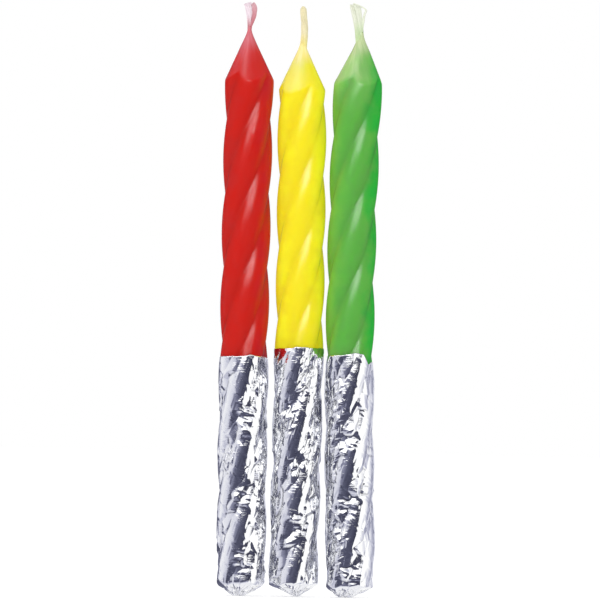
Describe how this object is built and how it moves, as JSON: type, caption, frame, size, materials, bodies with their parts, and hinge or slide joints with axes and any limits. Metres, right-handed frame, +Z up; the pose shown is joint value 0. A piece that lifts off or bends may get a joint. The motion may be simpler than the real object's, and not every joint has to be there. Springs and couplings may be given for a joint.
{
  "type": "spiral party candle set",
  "caption": "Set of spiral party candles in red, yellow and green wax, with cotton wicks and foil-wrapped feet that push into a cake.",
  "frame": {"origin": "on the axis of the yellow candle in the middle, at the level of the foil tips", "axes": "+Z up along the candles' axes towards the wicks, +X along the row from the red to the green candle, +Y away from the picture's viewer"},
  "size_m": [0.0315, 0.01, 0.1188],
  "materials": {
    "red_wax": "satin",
    "yellow_wax": "satin",
    "green_wax": "satin",
    "wick_cotton": "matte",
    "foil": "polished"
  },
  "bodies": {
    "yellow_foil": {"yellow_foil": "foil"},
    "yellow_candle": {"yellow_wax": "yellow_wax", "yellow_wick": "wick_cotton"},
    "red_foil": {"red_foil": "foil"},
    "red_candle": {"red_wax": "red_wax", "red_wick": "wick_cotton"},
    "green_foil": {"green_foil": "foil"},
    "green_candle": {"green_wax": "green_wax", "green_wick": "wick_cotton"}
  },
  "joints": [
    {"name": "yellow_draw", "type": "slide", "parent": "yellow_foil", "child": "yellow_candle", "axis": [0, 0, 1], "range_m": [0, 0.05]},
    {"name": "red_part", "type": "slide", "parent": "yellow_foil", "child": "red_foil", "axis": [-1, 0, 0], "range_m": [0, 0.02]},
    {"name": "red_draw", "type": "slide", "parent": "red_foil", "child": "red_candle", "axis": [0, 0, 1], "range_m": [0, 0.05]},
    {"name": "green_part", "type": "slide", "parent": "yellow_foil", "child": "green_foil", "axis": [1, 0, 0], "range_m": [0, 0.02]},
    {"name": "green_draw", "type": "slide", "parent": "green_foil", "child": "green_candle", "axis": [0, 0, 1], "range_m": [0, 0.05]}
  ]
}
